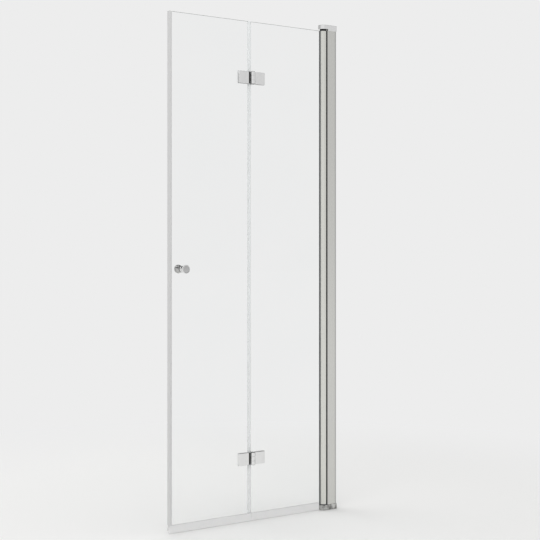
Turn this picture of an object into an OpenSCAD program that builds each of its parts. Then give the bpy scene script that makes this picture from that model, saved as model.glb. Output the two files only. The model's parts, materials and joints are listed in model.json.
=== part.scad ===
// Bifold shower door. A post on the wall carries a glass leaf on a rising pivot, and a second
// glass leaf folds against the first on two barrel hinges.
// X = 0 is the wall and the glass runs along -X. The room is on the -Y side and the shower on
// the +Y side, the middle of the glass is Y = 0, and Z = 0 is the floor. All sizes are in mm.

/* [Door] */
// Height from the floor to the top of the top cap
door_h = 2000; // [1800:1:2200]
// Width from the wall to the closing edge
door_w = 785; // [740:1:860]
// Wall to the pivot axis
pivot_x = 55.5; // [50:0.5:58]
// Angle that the door swings into the shower
swing = 90; // [80:1:95]
// Height that the door rises over the whole swing
lift = 5; // [3:0.5:6]

/* [Glass] */
// Thickness of the glass
glass_t = 6; // [5:0.5:8]
// Width of the glass in the wall leaf
wall_glass_w = 348.5; // [320:0.5:370]
// Gap between the two sheets of glass
leaf_gap = 10; // [9:0.5:14]
// Bevel ground along the edges of the glass
glass_bevel = 0.8; // [0.4:0.1:1.2]

/* [Wall post] */
// Depth of the post from its room face to its shower face
post_d = 34; // [33:0.5:35]
// Wall of the post extrusion
post_wall = 1.6; // [1.2:0.1:2]
// Gap between the post and the wall, over which the channel shows
post_back = 7.5; // [1:0.5:10]
// Gap between the pivot tube and the round recess in the post
recess_gap = 2.75; // [2:0.25:3]
// Wall of the channel that is screwed to the wall
channel_wall = 1.8; // [1.4:0.1:2.4]
// Length of the channel's legs
channel_leg = 27; // [20:1:29]
// Sliding play between the channel and the post
channel_play = 0.3; // [0.2:0.05:0.5]
// Radius of the wall screw holes
wall_hole_r = 2.75; // [2:0.25:3.5]
// Height of the lowest wall screw hole, and drop of the highest one below the top
wall_hole_end = 120; // [80:5:200]
// Distance between the two middle wall screw holes
wall_hole_mid = 600; // [400:10:800]
// Radius of the screw port inside the post
port_r = 3.2; // [3:0.1:3.6]
// Reach of a sealing strip along the recess, in degrees
seal_sweep = 7; // [4:1:10]
// Angle from the wall direction to a sealing strip
seal_angle = 48; // [40:1:50]

/* [Caps] */
// Wall of the caps outside the post
cap_wall = 3.5; // [2.5:0.25:5]
// Height of the bottom cap
bottom_cap_h = 21; // [21:0.5:28]
// Height of the top cap along the post
top_cap_h = 23; // [20:0.5:30]
// Height of the nose of the top cap above the pivot tube
nose_h = 17; // [16:0.5:19]
// Thickness of the plate that closes a cap
cap_plate = 3; // [2:0.25:4]
// Bevel round the closed end of a cap
cap_bevel = 1; // [0.5:0.25:1.5]
// Play between the post and a cap
cap_play = 0.2; // [0.1:0.05:0.3]

/* [Pivot tube] */
// Radius of the pivot tube
tube_r = 17; // [16.5:0.25:17.5]
// Wall of the pivot tube
tube_wall = 1.8; // [1.4:0.1:2.2]
// Wall of the glass pocket inside the tube
pocket_wall = 1.5; // [1.2:0.1:1.7]
// Distance from the pivot axis to the back of the glass pocket
pocket_back = 8; // [7.75:0.25:9]
// Thickness of each glazing gasket
gasket_t = 2.5; // [1.5:0.25:3]
// Play between the glass edge and the back of the pocket
pocket_play = 1; // [0.5:0.25:2]
// Reach of the gasket lips beyond the crown of the tube
gasket_lip = 3.5; // [0.5:0.25:5]
// Gap between the bottom cap and the flange of the rising cam
rest_gap = 1; // [0.5:0.25:1.5]
// Clear height above the tube at full lift
head_gap = 1; // [0.5:0.25:1.5]
// Thickness of the flange under the tube
foot_flange = 3; // [2:0.25:4]
// Thickness of the flange on top of the tube
head_flange = 2; // [1.5:0.25:3]
// Radius of the black collar between the tube and the top cap
collar_ring_r = 13.5; // [12.5:0.25:15]
// Thickness of the block that the glass stands on
block_t = 1; // [0.5:0.25:2]

/* [Rising pivot] */
// Radius of the bottom pivot pin
pin_r = 4; // [3:0.25:4.2]
// Reach of the pivot pin above the floor
pin_top = 58; // [50:1:80]
// Wall of the cap under the pivot pin
pin_floor = 1.5; // [1:0.25:2.5]
// Depth of the pivot pin's seat in the bottom cap
pin_seat = 3.5; // [2:0.25:4]
// Radius of the cams
cam_r = 9.5; // [8.5:0.25:9.75]
// Thickness of the fixed cam under its ramps
cam_base = 3; // [2:0.25:3.5]
// Number of ramps round a cam
cam_lobes = 2; // [2,3]
// Side of the square shank of the top spindle
shank_w = 6; // [5:0.25:6.5]
// Length of the shank below the nose of the top cap
shank_l = 45; // [30:1:60]
// Radius of the spindle where it turns in its bush
journal_r = 6; // [5:0.25:7]
// Wall of the top bush
bush_wall = 4; // [2:0.25:5]
// Running play on the radius of pins and shafts
run_play = 0.05; // [0.03:0.01:0.09]

/* [Folding hinges] */
// Distance of each hinge from the end of the glass
hinge_end = 223.5; // [180:0.5:300]
// Width of a hinge wing on the glass
wing_w = 46; // [38:1:56]
// Height of a hinge wing
wing_h = 48; // [42:1:60]
// Thickness of a hinge wing
wing_t = 9; // [8:0.25:9.5]
// Thickness of a clamp plate on the shower side
clamp_t = 5; // [4:0.25:7]
// Thickness of the pads between metal and glass
pad_t = 1; // [0.5:0.25:1.5]
// Bevel round the front of wings and clamp plates
wing_bevel = 0.8; // [0.4:0.1:1.5]
// Fold axis in front of the glass face
axis_out = 10.5; // [10.5:0.25:12]
// Fold axis past the edge of the wall leaf's glass
axis_in = 1; // [0.5:0.25:2]
// Radius of the hinge barrels
barrel_r = 8.5; // [7:0.25:8.75]
// Gap between the barrel and the wall leaf's wing
barrel_gap = 3.5; // [3:0.25:5]
// Radius of the hinge pins
hinge_pin_r = 3; // [2:0.25:3.5]
// Height of the middle knuckle
knuckle_h = 18; // [12:1:24]
// Thickness of the arms between the wings and the barrels
arm_t = 4; // [3:0.25:5]
// Width of the black strip between the folding leaf's wing and the barrels
strip_w = 7.5; // [7:0.25:10]
// Gap between the barrels and the black strip
strip_gap = 1.5; // [1.25:0.25:3]
// Width of a clamp plate on the shower side
clamp_w = 36; // [32:1:46]
// Height of a clamp plate on the shower side
clamp_h = 40; // [36:1:48]
// Thickness of the wing in front of the pad's lips
wing_front = 2; // [1.5:0.25:4]
// Thickness of the lips of a pad over the ends of a wing
lip_cover = 1.2; // [0.8:0.1:1.6]
// Distance between the two screws of a wing
screw_pitch = 26; // [20:1:30]
// Radius of the hinge screws
screw_r = 2.5; // [2:0.25:3]
// Radius of the screw holes in the glass
glass_hole_r = 6; // [5.5:0.25:7]

/* [Seals] */
// Depth of the closing seal from its room face to its shower face
closing_d = 16; // [14:0.5:20]
// Width of the closing seal beyond the glass
closing_w = 6; // [5:0.25:8]
// Reach of the closing seal's legs over the glass
closing_leg = 7; // [5:0.5:10]
// Wall of the seals
seal_wall = 1.2; // [0.8:0.1:1.5]
// Reach of the middle seal's legs over the glass
middle_leg = 6; // [4:0.5:6]
// Reach of a bottom seal's legs up the glass
sweep_leg = 6; // [4:0.5:10]
// Gap between the bottom seals and the floor
floor_gap = 1.5; // [1:0.25:4]
// Thickness of a wiper lip
lip_t = 1.4; // [0.8:0.1:2]
// Reach of the drip lip from the clip into the shower
drip_reach = 6; // [3:0.5:9]
// Drop of the drip lip below the glass
drip_drop = 14; // [8:0.5:18]
// Thickness of the web under the glass
web_t = 2; // [1:0.25:3]
// Gap between the nose of the bottom cap and the wall leaf's bottom seal
sweep_clear = 3; // [2:0.25:6]
// Gap between the bottom seals of the two leaves
sweep_gap = 1; // [0.5:0.25:2]

/* [Knobs] */
// Knob axis from the closing edge
knob_in = 59; // [45:1:80]
// Height of the knob axis above the floor
knob_z = 1000; // [900:5:1100]
// Radius of the knob's head
knob_r = 16.5; // [13:0.5:18]
// Radius of the knob's foot
knob_foot_r = 13; // [11:0.5:15]
// Radius of the knob's waist
knob_waist_r = 8.5; // [7:0.5:10]
// Height of a knob
knob_h = 30; // [28:1:32]
// Height of the knob's foot
knob_foot_h = 5; // [3:0.5:6]
// Height of the straight waist above the foot
knob_waist_h = 3; // [1:0.5:4]
// Height of the knob's head
knob_rim_h = 5; // [3:0.5:7]
// Bevel round the face of the knob
knob_bevel = 1.6; // [0.8:0.2:2.4]
// Radius of the stud through the glass
stud_r = 4; // [3:0.25:5]

/* [Hidden] */

$fn = 64;
cut = 1;            // overshoot of a cutting shape
free = 0.3;         // gap between surfaces that pass each other

// Heights of the fixed parts
nose_z = door_h - nose_h;
cap_r = post_d / 2 + cap_wall;
recess_r = tube_r + recess_gap;
lip_x = pivot_x - sqrt(pow(recess_r, 2) - pow(post_d / 2, 2));
disc_r = recess_r - free;                 // round body of a cap inside the recess
channel_d = post_d - 2 * (post_wall + channel_play);
port_sink = 0.8;                          // depth of a screw port in the wall behind it
port_x = pivot_x - recess_r - post_wall - port_r + port_sink;
port_hole_r = 1.9;
cap_screw_head_r = 3.7;
cap_screw_l = 16;
adjuster_r = 1.75;
adjuster_l = post_wall + channel_play + channel_wall + 2;
adjuster_head_r = 3.6;
adjuster_head_h = 2.2;
adjuster_x = channel_leg / 2 + channel_wall;
adjuster_end = wall_hole_end + 40;        // height of the lowest adjusting screw
adjuster_heights = [adjuster_end, door_h / 2, door_h - adjuster_end];
screw_play = 0.2;                         // play on the radius round a screw
seal_fit = 0.1;                           // gap between a sealing strip and the recess

// Heights of the swinging parts
flange_z = bottom_cap_h + rest_gap;
tube_foot = flange_z + foot_flange;
glass_foot = tube_foot + block_t;
plug_top = nose_z - head_gap - lift;
tube_top = plug_top - head_flange;
glass_over = 1;                           // glass beyond the top of the tube
glass_top = tube_top + glass_over;
glass_h = glass_top - glass_foot;

// Glass pocket of the pivot tube, measured from the pivot axis
glass_y = glass_t / 2;
slot_w = glass_t + 2 * gasket_t;
glass_edge = pocket_back + pocket_play;
column_r = pocket_back - pocket_wall - free;
column_end = 3;                           // solid end of a column beyond its pin or shank
chamber_r = tube_r - tube_wall;
plug_port_r = 3;
plug_port_at = chamber_r - plug_port_r + port_sink;
plug_port_angle = 68;
plug_screw_r = 1.6;
plug_head_r = 3;
plug_screw_l = 14;

// Top spindle and its bush in the nose of the top cap
nest_z = door_h - cap_plate - 0.5;        // roof of the nest for the bush
ring_wall = 1.5;                          // wall of the black collar under the nose
collar_t = 3;
collar_z = nest_z - collar_t - free;      // foot of the collar, on top of the bush
collar_r = journal_r + bush_wall / 2;
bush_r = journal_r + run_play + bush_wall;
shank_foot = nose_z - shank_l;

// Edges of the two sheets of glass, measured from the wall
wall_glass_x = pivot_x + glass_edge;
fold_glass_x = wall_glass_x + wall_glass_w;
free_glass_x = fold_glass_x + leaf_gap;
close_glass_x = door_w - closing_w;

// Rising cams
pin_foot = pin_floor;
cam_seat = pin_foot + pin_seat;
ramp_z = cam_seat + cam_base;
ramp_step = 0.2;                          // height of a ramp at its low end
lobe_turn = 360 / cam_lobes;
ramp_rise = lift * min(lobe_turn, 180) / swing;
ramp_top = ramp_z + ramp_step + ramp_rise;
ramp_in = pin_r + 1.2;
ramp_out = cam_r - 0.8;
ramp_slots = 2;                           // turn left open beside the steep face of a ramp
ramp_facets = 24;

// Folding hinges
fold_x = fold_glass_x - axis_in;
fold_y = -glass_y - axis_out;
pad_y = glass_y + pad_t;
wing_face = pad_y + wing_t;
wall_wing_x = fold_x - barrel_r - barrel_gap;
strip_x = fold_x + barrel_r + strip_gap;
fold_wing_x = strip_x + strip_w;
hinge_low = glass_foot + hinge_end;
hinge_high = glass_top - hinge_end;
knuckle_gap = free;
arm_y = fold_y + barrel_r;                // back of the arms, level with the barrels
end_cap_h = 1;                            // black caps over the ends of the hinge pins
end_cap_stem = 3;
strip_inset = 0.5;                        // strip set back from the faces of the wings
tongue_w = 6;
tongue_t = 4;
tongue_y = (pad_y + wing_face + tongue_t) / 2;
pad_inset = 0.5;                          // edge of the pads inside the edge of the plates
screw_head_r = screw_r + 2.2;
screw_depth = wing_t - 2.5;               // depth of the screw holes in a wing
screw_l = clamp_t + 2 * pad_y + screw_depth - 1;
sleeve_r = glass_hole_r - free;
wall_screw_x = wall_wing_x - wing_w / 2;
fold_screw_x = fold_wing_x + wing_w / 2;

// Seals
clip_y = glass_y + seal_wall;             // outside of a clip on the glass
bulb_r = clip_y;
sweep_top = glass_foot + sweep_leg;       // the upright seals stand on the bottom seal
upright_h = glass_top - sweep_top;

// Knobs
knob_x = door_w - knob_in;
washer_t = 1;
knob_y = glass_y + washer_t;
knob_edge = 0.5;                          // small bevels of a knob
stud_reach = 9;                           // length of the stud inside each knob

module at_pivot() {
    translate([-pivot_x, 0, 0]) children();
}

module on_shower_side() {
    mirror([0, 1, 0]) children();
}

// Bar of a section drawn in Y and Z, between two distances from the wall
module along_glass(x0, x1) {
    translate([-x1, 0, 0]) rotate([90, 0, 90]) linear_extrude(x1 - x0) children();
}

// Pan-headed screw that points along -Z, with its seat at Z = 0
module pan_screw(r, length, head_r, head_h) {
    rim_h = head_h * 0.4;
    face_r = head_r * 0.7;
    cross_l = head_r * 1.1;
    cross_w = head_r * 0.28;
    difference() {
        union() {
            translate([0, 0, -length]) cylinder(r = r, h = length);
            rotate_extrude()
                polygon([[0, 0], [head_r, 0], [head_r, rim_h], [face_r, head_h], [0, head_h]]);
        }
        for (turn = [0, 90]) rotate([0, 0, turn])
            translate([-cross_l / 2, -cross_w / 2, rim_h]) cube([cross_l, cross_w, head_h]);
    }
}

// Countersunk screw that points along -Z, with its face at Z = 0
module sunk_screw(r, length, head_r) {
    socket_depth = (head_r - r) * 0.8;
    difference() {
        union() {
            translate([0, 0, -length]) cylinder(r = r, h = length);
            translate([0, 0, r - head_r]) cylinder(r1 = r, r2 = head_r, h = head_r - r);
        }
        translate([0, 0, -socket_depth]) cylinder(r = r * 0.7, h = socket_depth + cut, $fn = 6);
    }
}

// Hole for a countersunk screw that points along -Z, with its face at Z = 0
module sunk_hole(r, length, head_r) {
    translate([0, 0, -length]) cylinder(r = r, h = length + cut);
    translate([0, 0, r - head_r]) cylinder(r1 = r, r2 = head_r, h = head_r - r);
    cylinder(r = head_r, h = cut);
}

// ---- Post on the wall ----

module wall_channel() {
    hole_heights = [
        wall_hole_end, (door_h - wall_hole_mid) / 2, (door_h + wall_hole_mid) / 2,
        door_h - wall_hole_end
    ];
    color("silver") difference() {
        translate([0, 0, cap_plate]) linear_extrude(door_h - 2 * cap_plate) difference() {
            translate([-channel_leg, -channel_d / 2]) square([channel_leg, channel_d]);
            translate([-channel_leg - cut, channel_wall - channel_d / 2])
                square([channel_leg + cut - channel_wall, channel_d - 2 * channel_wall]);
        }
        for (z = hole_heights) translate([-channel_wall - cut, 0, z]) rotate([0, 90, 0])
            cylinder(r = wall_hole_r, h = channel_wall + 2 * cut);
        at_adjusters() cylinder(r = adjuster_r, h = post_d, center = true);
    }
}

// The screws that fix the post to the channel, on the shower side
module at_adjusters() {
    for (z = adjuster_heights)
        translate([-adjuster_x, post_d / 2, z]) rotate([-90, 0, 0]) children();
}

module adjusting_screws() {
    color("gainsboro") at_adjusters()
        pan_screw(adjuster_r, adjuster_l, adjuster_head_r, adjuster_head_h);
}

module post_profile() {
    color("silver") difference() {
        translate([0, 0, cap_plate]) linear_extrude(door_h - 2 * cap_plate) difference() {
            union() {
                difference() {
                    translate([-pivot_x, -post_d / 2]) square([pivot_x - post_back, post_d]);
                    difference() {
                        translate([-pivot_x, post_wall - post_d / 2])
                            square([pivot_x, post_d - 2 * post_wall]);
                        translate([-pivot_x, 0]) circle(recess_r + post_wall);
                    }
                }
                translate([-port_x, 0]) circle(port_r);
            }
            translate([-pivot_x, 0]) circle(recess_r);
            translate([-port_x, 0]) circle(port_hole_r);
        }
        at_adjusters() translate([0, 0, -post_wall - cut])
            cylinder(r = adjuster_r + screw_play, h = post_wall + 2 * cut);
    }
}

// Plan of the root of a sealing strip, in the gap between the post and the pivot tube
module seal_root() {
    intersection() {
        circle(recess_r - seal_fit);
        polygon([
            [0, 0],
            2 * recess_r * [cos(seal_angle), -sin(seal_angle)],
            2 * recess_r * [cos(seal_angle + seal_sweep), -sin(seal_angle + seal_sweep)]
        ]);
    }
}

// Plan of the wedge that fills the valley beside the tube, level with the post's room face
module seal_wedge() {
    root_x = recess_r * cos(seal_angle + seal_sweep);
    translate([0, -post_d / 2]) square([pivot_x - lip_x - seal_fit, post_d / 2]);
    intersection() {
        circle(recess_r - seal_fit);
        translate([0, -post_d / 2]) square([root_x + cut, post_d / 2]);
    }
}

// Black strips that close the gap between the post and the pivot tube
module post_seals() {
    color("dimgray") at_pivot() translate([0, 0, bottom_cap_h]) {
        linear_extrude(tube_top - bottom_cap_h) difference() {
            union() {
                seal_root();
                seal_wedge();
            }
            circle(tube_r + free);
        }
        linear_extrude(nose_z - bottom_cap_h) mirror([0, 1]) difference() {
            seal_root();
            circle(tube_r + free);
        }
    }
}

// Plan of the space that the post takes inside a cap
module post_space() {
    difference() {
        translate([-pivot_x, -post_d / 2 - cap_play])
            square([pivot_x + cut, post_d + 2 * cap_play]);
        translate([-pivot_x, 0]) circle(disc_r);
    }
}

// Body of a cap with a round nose on the pivot axis and a bevel round its closed end, Z = 0
module cap_body(height) {
    at_pivot() rotate_extrude() polygon([
        [0, 0], [cap_r - cap_bevel, 0], [cap_r, cap_bevel], [cap_r, height], [0, height]
    ]);
    translate([-pivot_x, 0, 0]) rotate([90, 0, 90]) linear_extrude(pivot_x) polygon([
        [cap_bevel - cap_r, 0], [cap_r - cap_bevel, 0], [cap_r, cap_bevel],
        [cap_r, height], [-cap_r, height], [-cap_r, cap_bevel]
    ]);
}

module bottom_cap() {
    color("lightgray") difference() {
        cap_body(bottom_cap_h);
        translate([0, 0, cap_plate]) linear_extrude(bottom_cap_h) post_space();
        at_pivot() {
            translate([0, 0, cam_seat]) cylinder(r = cam_r + 0.5, h = bottom_cap_h);
            translate([0, 0, pin_foot]) cylinder(r = pin_r, h = bottom_cap_h);
        }
        translate([-port_x, 0, 0]) mirror([0, 0, 1])
            sunk_hole(port_hole_r + screw_play, cap_plate, cap_screw_head_r);
    }
}

module top_cap() {
    color("lightgray") translate([0, 0, door_h]) mirror([0, 0, 1]) difference() {
        cap_body(top_cap_h);
        translate([0, 0, cap_plate]) linear_extrude(top_cap_h) post_space();
        translate([0, 0, nose_h]) {
            at_pivot() cylinder(r = recess_r, h = top_cap_h);
            translate([-pivot_x - cap_r - cut, -cap_r - cut, 0])
                cube([cap_r + cut + pivot_x - lip_x, 2 * (cap_r + cut), top_cap_h]);
        }
        at_pivot() translate([0, 0, door_h - nest_z]) cylinder(r = bush_r, h = top_cap_h);
        at_pivot() translate([0, 0, nose_h - lift - head_gap]) difference() {
            cylinder(r = collar_ring_r + free, h = top_cap_h);
            cylinder(r = collar_ring_r - ring_wall - free, h = top_cap_h);
        }
        translate([-port_x, 0, 0]) mirror([0, 0, 1])
            sunk_hole(port_hole_r + screw_play, cap_plate, cap_screw_head_r);
    }
}

module cap_screws() {
    color("gainsboro") {
        translate([-port_x, 0, door_h]) sunk_screw(port_hole_r, cap_screw_l, cap_screw_head_r);
        translate([-port_x, 0, 0]) mirror([0, 0, 1])
            sunk_screw(port_hole_r, cap_screw_l, cap_screw_head_r);
    }
}

// ---- Rising pivot ----

module pivot_pin() {
    point = 1;
    color("lightsteelblue") at_pivot() translate([0, 0, pin_foot]) {
        cylinder(r = pin_r, h = pin_top - pin_foot - point);
        translate([0, 0, pin_top - pin_foot - point])
            cylinder(r1 = pin_r, r2 = pin_r - point, h = point);
    }
}

// Height of a ramp above its low end after a part of its turn, from 0 to 1
function ramp_at(part) = ramp_step + ramp_rise * part;

// Ring points of a ramp at one station: inner and outer, at the flat side and at the ramp
function ramp_ring(turn, flat_z, slope_z) = [
    [ramp_in * cos(turn), ramp_in * sin(turn), flat_z],
    [ramp_out * cos(turn), ramp_out * sin(turn), flat_z],
    [ramp_out * cos(turn), ramp_out * sin(turn), slope_z],
    [ramp_in * cos(turn), ramp_in * sin(turn), slope_z]
];

// One helical ramp, solid between a flat side at flat_z and the slope, from turn_from to turn_to
module ramp(flat_z, gap, turn_from, turn_to) {
    ramp_turn = min(lobe_turn, 180);
    stations = [for (i = [0 : ramp_facets])
        let (turn = turn_from + (turn_to - turn_from) * i / ramp_facets)
            ramp_ring(turn, flat_z, ramp_z + gap + ramp_at(turn / ramp_turn))];
    points = [for (ring = stations) each ring];
    last = 4 * ramp_facets;
    below = flat_z < ramp_z + gap;
    end_low = [0, 1, 2, 3];
    end_high = [last + 3, last + 2, last + 1, last];
    sides = [for (i = [0 : ramp_facets - 1]) for (k = [0 : 3])
        let (a = 4 * i + k, b = 4 * i + (k + 1) % 4) each [[b, a, a + 4], [b, a + 4, b + 4]]];
    faces = concat([end_low, end_high], sides);
    polyhedron(points, below ? [for (f = faces) reverse(f)] : faces);
}

function reverse(list) = [for (i = [len(list) - 1 : -1 : 0]) list[i]];

// The leaf turns clockwise from above as it opens, so the ramps climb clockwise
module cam_ramps(flat_z, gap, slot) {
    mirror([0, 1, 0]) for (lobe = [0 : cam_lobes - 1])
        rotate([0, 0, lobe * lobe_turn]) ramp(flat_z, gap, slot, lobe_turn);
}

module fixed_cam() {
    color("whitesmoke") at_pivot() {
        difference() {
            translate([0, 0, cam_seat]) cylinder(r = cam_r, h = cam_base);
            cylinder(r = pin_r + run_play, h = door_h);
        }
        cam_ramps(ramp_z - cam_base / 2, 0, 0);
    }
}

module rising_cam() {
    ring_z = ramp_top + 2 * free;
    color("dimgray") at_pivot() {
        difference() {
            union() {
                translate([0, 0, ring_z]) cylinder(r = cam_r, h = flange_z - ring_z + cut);
                translate([0, 0, flange_z]) cylinder(r = tube_r - free, h = foot_flange);
                translate([0, 0, flange_z])
                    cylinder(r = column_r, h = pin_top + column_end - flange_z);
            }
            cylinder(r = pin_r + run_play, h = pin_top + free);
            at_plug_ports() translate([0, 0, flange_z]) mirror([0, 0, 1])
                sunk_hole(plug_screw_r + screw_play, foot_flange + cut, plug_head_r);
        }
        difference() {
            cam_ramps(ring_z + (flange_z - ring_z) / 2, free, ramp_slots);
            cylinder(r = pin_r + run_play, h = door_h);
        }
    }
}

// Screw ports inside the tube, beside the column
module at_plug_ports() {
    for (side = [-1, 1]) rotate([0, 0, side * plug_port_angle])
        translate([plug_port_at, 0, 0]) children();
}

// The collar fills the gap under the nose of the top cap, and rises into the nose with the leaf
module top_plug() {
    column_foot = shank_foot - column_end;
    color("dimgray") at_pivot() difference() {
        union() {
            difference() {
                translate([0, 0, tube_top]) cylinder(r = tube_r - free, h = head_flange);
                translate([-tube_r - cut, -slot_w / 2, tube_top - cut])
                    cube([tube_r + cut - pocket_back, slot_w, head_flange + 2 * cut]);
            }
            translate([0, 0, column_foot]) cylinder(r = column_r, h = plug_top - column_foot);
            translate([0, 0, plug_top]) difference() {
                cylinder(r = collar_ring_r, h = nose_z - free - plug_top);
                translate([0, 0, cut / 2]) cylinder(r = collar_ring_r - ring_wall, h = nose_z);
            }
        }
        translate([0, 0, door_h / 2]) linear_extrude(door_h)
            square(shank_w + 2 * run_play, center = true);
        at_plug_ports() translate([0, 0, plug_top]) {
            sunk_hole(plug_screw_r + screw_play, head_flange + cut, plug_head_r);
            cylinder(r = plug_head_r, h = nose_z);
        }
    }
}

module plug_screws() {
    color("gainsboro") at_pivot() at_plug_ports() {
        translate([0, 0, plug_top]) sunk_screw(plug_screw_r, plug_screw_l, plug_head_r);
        translate([0, 0, flange_z]) mirror([0, 0, 1])
            sunk_screw(plug_screw_r, plug_screw_l, plug_head_r);
    }
}

module top_bush() {
    color("whitesmoke") at_pivot() difference() {
        translate([0, 0, nose_z]) cylinder(r = bush_r, h = collar_z - nose_z);
        cylinder(r = journal_r + run_play, h = door_h);
    }
}

module top_spindle() {
    color("lightsteelblue") at_pivot() {
        translate([0, 0, nose_z]) cylinder(r = journal_r, h = collar_z - nose_z + cut);
        translate([0, 0, collar_z]) cylinder(r = collar_r, h = collar_t);
        translate([0, 0, shank_foot]) linear_extrude(nose_z + cut - shank_foot)
            square(shank_w, center = true);
    }
}

// ---- Wall leaf ----

module pivot_tube() {
    color("silver") at_pivot() translate([0, 0, tube_foot]) linear_extrude(tube_top - tube_foot)
        difference() {
            union() {
                difference() {
                    circle(tube_r);
                    circle(chamber_r);
                }
                intersection() {
                    circle(tube_r - tube_wall / 2);
                    translate([-tube_r, -slot_w / 2 - pocket_wall])
                        square([tube_r - pocket_back + pocket_wall, slot_w + 2 * pocket_wall]);
                }
                at_plug_ports() circle(plug_port_r);
            }
            translate([-tube_r - cut, -slot_w / 2])
                square([tube_r + cut - pocket_back, slot_w]);
            at_plug_ports() circle(plug_screw_r);
        }
}

// Gasket on the room face of the glass, with a sloping lip at the mouth of the tube
module glazing_gasket() {
    at_pivot() translate([0, 0, tube_foot]) linear_extrude(glass_top - tube_foot) polygon([
        [-glass_edge, -glass_y], [-tube_r - gasket_lip, -glass_y],
        [-tube_r, -slot_w / 2], [-glass_edge, -slot_w / 2]
    ]);
}

module room_gasket() {
    color("dimgray") glazing_gasket();
}

module shower_gasket() {
    color("dimgray") on_shower_side() glazing_gasket();
}

module setting_block() {
    color("gray") at_pivot() translate([-tube_r, -glass_y, tube_foot])
        cube([tube_r - glass_edge, glass_t, block_t]);
}

// Sheet of glass between two distances from the wall, with its four long edges bevelled
module glass_sheet(x0, x1) {
    intersection() {
        translate([0, 0, glass_foot]) linear_extrude(glass_h) glass_section(-x1, -x0);
        along_glass(x0, x1) rotate(90) glass_section(glass_foot, glass_top);
    }
}

// Bevelled strip of glass thickness between two distances
module glass_section(from, to) {
    polygon([
        [from, glass_bevel - glass_y], [from + glass_bevel, -glass_y],
        [to - glass_bevel, -glass_y], [to, glass_bevel - glass_y],
        [to, glass_y - glass_bevel], [to - glass_bevel, glass_y],
        [from + glass_bevel, glass_y], [from, glass_y - glass_bevel]
    ]);
}

// The two screws of each hinge wing, pointing to the room, at the middle of the glass
module at_wing_screws(wing_x, heights = [hinge_low, hinge_high]) {
    for (z = heights) for (side = [-1, 1])
        translate([-wing_x, 0, z + side * screw_pitch / 2]) rotate([-90, 0, 0]) children();
}

module wall_leaf_glass() {
    color("lightcyan", 0.4) difference() {
        glass_sheet(wall_glass_x, fold_glass_x);
        at_wing_screws(wall_screw_x) cylinder(r = glass_hole_r, h = 2 * glass_t, center = true);
    }
}

module folding_leaf_glass() {
    color("lightcyan", 0.4) difference() {
        glass_sheet(free_glass_x, close_glass_x);
        at_wing_screws(fold_screw_x) cylinder(r = glass_hole_r, h = 2 * glass_t, center = true);
        translate([-knob_x, 0, knob_z]) rotate([90, 0, 0])
            cylinder(r = glass_hole_r, h = 2 * glass_t, center = true);
    }
}

// ---- Folding hinges ----

// Plate on the room face of the glass, bevelled round its front, centred on X and Z
module hinge_plate(width, height, thickness) {
    face = pad_y + thickness;
    intersection() {
        linear_extrude(height, center = true) polygon([
            [-width / 2, -pad_y], [width / 2, -pad_y], [width / 2, wing_bevel - face],
            [width / 2 - wing_bevel, -face], [wing_bevel - width / 2, -face],
            [-width / 2, wing_bevel - face]
        ]);
        rotate([90, 0, 90]) linear_extrude(width, center = true) polygon([
            [-pad_y, -height / 2], [-pad_y, height / 2], [wing_bevel - face, height / 2],
            [-face, height / 2 - wing_bevel], [-face, wing_bevel - height / 2],
            [wing_bevel - face, -height / 2]
        ]);
    }
}

// The space behind the front of a wing, above its top end, that the lip of a pad fills
module lip_space(width) {
    translate([-width / 2, wing_front - wing_face, wing_h / 2 - lip_cover])
        cube([width, wing_face - wing_front - pad_y, lip_cover]);
}

// Wing with its screw holes and the steps for the lips of the pad
module wing(wing_x, z) {
    difference() {
        translate([-wing_x, 0, z]) difference() {
            hinge_plate(wing_w, wing_h, wing_t);
            for (side = [0, 1]) mirror([0, 0, side]) lip_space(wing_w + cut);
        }
        at_wing_screws(wing_x, [z]) translate([0, 0, -pad_y - screw_depth])
            cylinder(r = screw_r, h = screw_depth + cut);
    }
}

// Barrel on the fold axis with an arm to an edge at distance x, from its foot up
module barrel(x, height) {
    arm_from = min(-x, -fold_x);
    translate([-fold_x, fold_y, 0]) cylinder(r = barrel_r, h = height);
    translate([arm_from, arm_y - arm_t, 0]) cube([abs(x - fold_x), arm_t, height]);
}

module at_fold(z) {
    translate([-fold_x, fold_y, z]) children();
}

// Wing on the wall leaf, with a barrel above and below the middle knuckle
module barrel_wing(z) {
    barrel_h = (wing_h - knuckle_h) / 2 - knuckle_gap;
    color("lightgray") difference() {
        union() {
            wing(wall_screw_x, z);
            for (side = [0, 1]) translate([0, 0, z]) mirror([0, 0, side])
                translate([0, 0, knuckle_h / 2 + knuckle_gap])
                    barrel(wall_wing_x - pad_inset, barrel_h);
        }
        at_fold(z) cylinder(r = hinge_pin_r, h = 2 * wing_h, center = true);
    }
}

// Wing on the folding leaf, with the middle knuckle and a groove for the black strip
module knuckle_wing(z) {
    color("lightgray") difference() {
        union() {
            difference() {
                wing(fold_screw_x, z);
                strip_tongues(z);
            }
            translate([0, 0, z - knuckle_h / 2]) barrel(fold_wing_x + cut, knuckle_h);
        }
        at_fold(z) cylinder(r = hinge_pin_r + run_play, h = wing_h, center = true);
    }
}

// Tongues of the black strip in the edge of the folding leaf's wing, above and below the arm
module strip_tongues(z) {
    tongue_l = wing_h / 2 - lip_cover - strip_inset - knuckle_h / 2;
    translate([0, 0, z]) for (side = [0, 1]) mirror([0, 0, side])
        translate([-fold_wing_x - tongue_w, -tongue_y, knuckle_h / 2])
            cube([tongue_w + cut, tongue_t, tongue_l]);
}

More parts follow.
